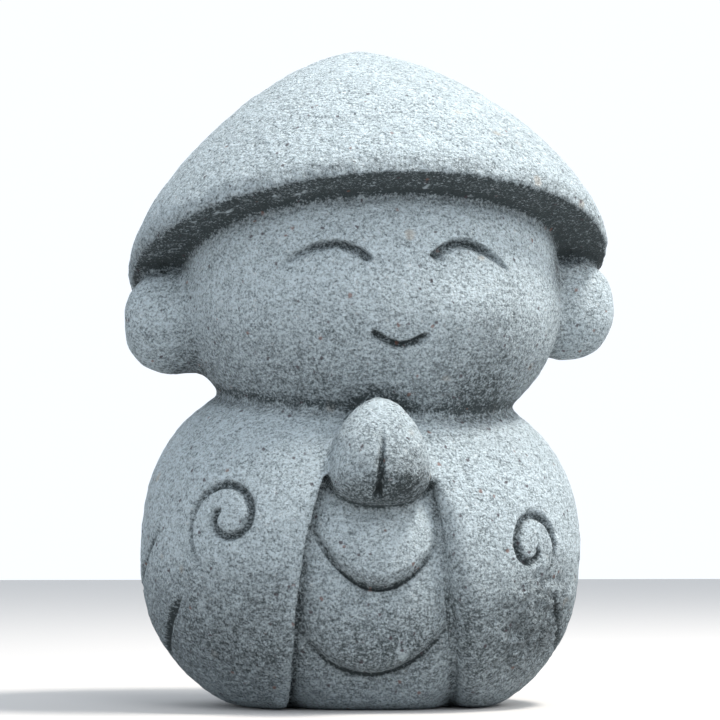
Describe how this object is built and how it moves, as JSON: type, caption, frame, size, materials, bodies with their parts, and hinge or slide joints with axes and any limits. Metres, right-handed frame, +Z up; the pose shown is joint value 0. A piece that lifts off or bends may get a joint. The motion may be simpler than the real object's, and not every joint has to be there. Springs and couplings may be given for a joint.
{
  "type": "resin jizo statue",
  "caption": "Small garden jizo with a wide hat, smiling face and joined hands, cast in one piece; stands on its flat underside.",
  "frame": {"origin": "on the ground, under the middle of the figure's box", "axes": "+Z up, the figure looks along -Y, +X is the viewer's right"},
  "size_m": [0.083, 0.0788, 0.111],
  "materials": {
    "stone_resin": "stone-filled polyresin with a rough granite-like grain, matt cool grey with dark, reddish and pale specks"
  },
  "bodies": {
    "root": {"jizo_statue": "stone_resin"}
  },
  "joints": []
}
